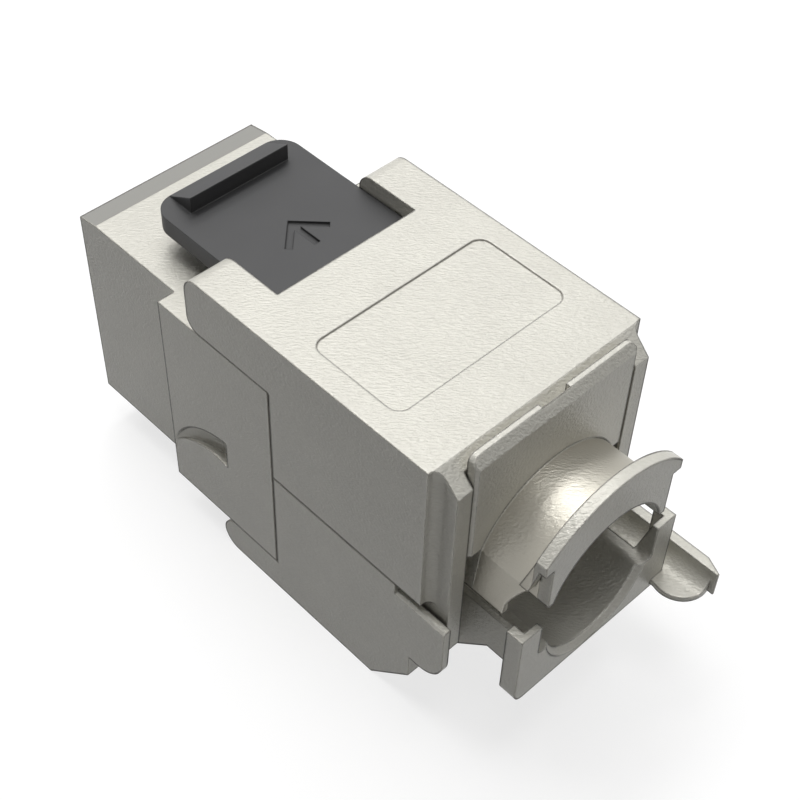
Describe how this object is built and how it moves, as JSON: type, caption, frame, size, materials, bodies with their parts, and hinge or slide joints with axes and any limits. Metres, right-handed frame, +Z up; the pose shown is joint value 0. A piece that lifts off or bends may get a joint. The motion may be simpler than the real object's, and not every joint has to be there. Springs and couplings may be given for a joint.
{
  "type": "shielded keystone jack",
  "caption": "Shielded keystone jack with a die-cast body, hinged jaws, a sliding cable clamp over a saddle, and a snap latch for panel mounting.",
  "frame": {"origin": "centre of the plug port in the front face of the housing", "axes": "+Z up, towards the latch; -Y out of the plug port; +Y towards the cable; +X across, the side with the finger pocket"},
  "size_m": [0.0172, 0.0429, 0.0241],
  "materials": {
    "nickel_plate": "satin nickel plate on die-cast zinc",
    "black_plastic": "fine matt moulding",
    "steel_pin": "ground",
    "insert_plastic": "moulded",
    "gold_contact": "gold plate",
    "spring_bronze": "bright bronze strip",
    "board_green": "solder mask",
    "tinned_blade": "bright tin",
    "manager_plastic": "moulded"
  },
  "bodies": {
    "housing": {"front_housing": "nickel_plate", "upper_hinge_pin": "steel_pin", "lower_hinge_pin": "steel_pin", "contact_insert": "insert_plastic", "contact_1": "gold_contact", "contact_2": "gold_contact", "contact_3": "gold_contact", "contact_4": "gold_contact", "contact_5": "gold_contact", "contact_6": "gold_contact", "contact_7": "gold_contact", "contact_8": "gold_contact", "ground_spring_left": "spring_bronze", "ground_spring_right": "spring_bronze", "circuit_board": "board_green", "blade_block": "insert_plastic", "blade_1": "tinned_blade", "blade_2": "tinned_blade", "blade_3": "tinned_blade", "blade_4": "tinned_blade", "blade_5": "tinned_blade", "blade_6": "tinned_blade", "blade_7": "tinned_blade", "blade_8": "tinned_blade", "wire_manager": "manager_plastic"},
    "latch": {"latch": "black_plastic"},
    "upper_jaw": {"upper_shell": "nickel_plate"},
    "clamp": {"cable_clamp": "nickel_plate"},
    "lower_jaw": {"lower_shell": "nickel_plate"}
  },
  "joints": [
    {"name": "latch_press", "type": "hinge", "parent": "housing", "child": "latch", "pos_m": [0, 0.01385, 0.0103], "axis": [1, 0, 0], "range_deg": [0, 10], "stiffness_Nm_per_rad": 0.05},
    {"name": "upper_jaw_hinge", "type": "hinge", "parent": "housing", "child": "upper_jaw", "pos_m": [0, 0.01385, 0.0103], "axis": [1, 0, 0], "range_deg": [0, 60]},
    {"name": "clamp_slide", "type": "slide", "parent": "upper_jaw", "child": "clamp", "axis": [0, 0, -1], "range_m": [0, 0.0045]},
    {"name": "lower_jaw_hinge", "type": "hinge", "parent": "housing", "child": "lower_jaw", "pos_m": [0, 0.01615, -0.0097], "axis": [-1, 0, 0], "range_deg": [0, 45]}
  ]
}
